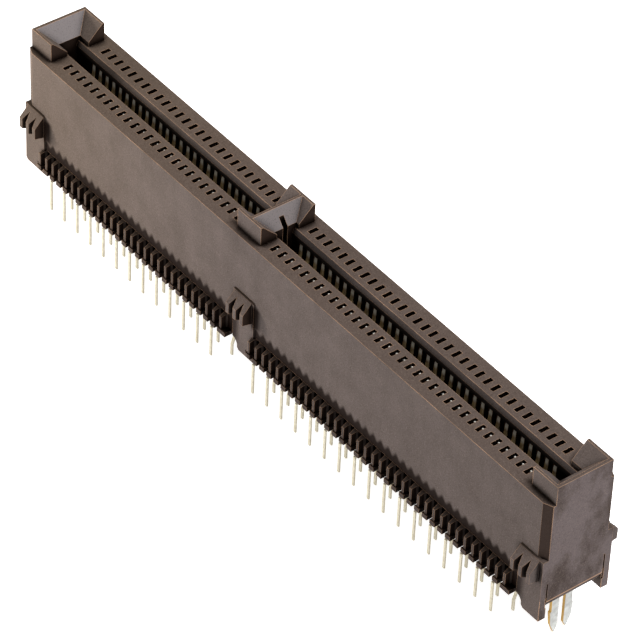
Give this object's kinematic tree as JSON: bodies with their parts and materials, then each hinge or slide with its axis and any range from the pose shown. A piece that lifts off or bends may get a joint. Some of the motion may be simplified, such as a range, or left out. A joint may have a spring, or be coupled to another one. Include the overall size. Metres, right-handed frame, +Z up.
{
  "type": "card edge connector",
  "caption": "Straight card edge connector for a circuit board: long moulded housing with a keyed card slot between guide blocks, sprung contacts, staggered solder tails and forked board locks",
  "frame": {"origin": "centre of the solder tail pattern, in the plane of the circuit board's top face, which the feet of the housing stand on", "axes": "X along the housing, with the shorter bay at -X. Y across the housing, with -Y the front face. Z up, away from the circuit board and out of the card slot"},
  "size_m": [0.091, 0.0116, 0.0229],
  "materials": {
    "housing_plastic": "moulded glass-filled plastic, matte and fine-grained",
    "contact_metal": "tin over copper alloy, dull",
    "lock_metal": "tin over brass, dull"
  },
  "bodies": {
    "root": {"housing": "housing_plastic", "front_short_bay_outer_contacts_1": "contact_metal", "front_short_bay_outer_contacts_2": "contact_metal", "front_long_bay_outer_contacts_1": "contact_metal", "front_long_bay_outer_contacts_2": "contact_metal", "front_long_bay_outer_contacts_3": "contact_metal", "front_short_bay_inner_contacts_1": "contact_metal", "front_short_bay_inner_contacts_2": "contact_metal", "front_long_bay_inner_contacts_1": "contact_metal", "front_long_bay_inner_contacts_2": "contact_metal", "front_long_bay_inner_contacts_3": "contact_metal", "back_short_bay_outer_contacts_1": "contact_metal", "back_short_bay_outer_contacts_2": "contact_metal", "back_long_bay_outer_contacts_1": "contact_metal", "back_long_bay_outer_contacts_2": "contact_metal", "back_long_bay_outer_contacts_3": "contact_metal", "back_short_bay_inner_contacts_1": "contact_metal", "back_short_bay_inner_contacts_2": "contact_metal", "back_long_bay_inner_contacts_1": "contact_metal", "back_long_bay_inner_contacts_2": "contact_metal", "back_long_bay_inner_contacts_3": "contact_metal", "left_board_lock": "lock_metal", "right_board_lock": "lock_metal"}
  },
  "joints": []
}
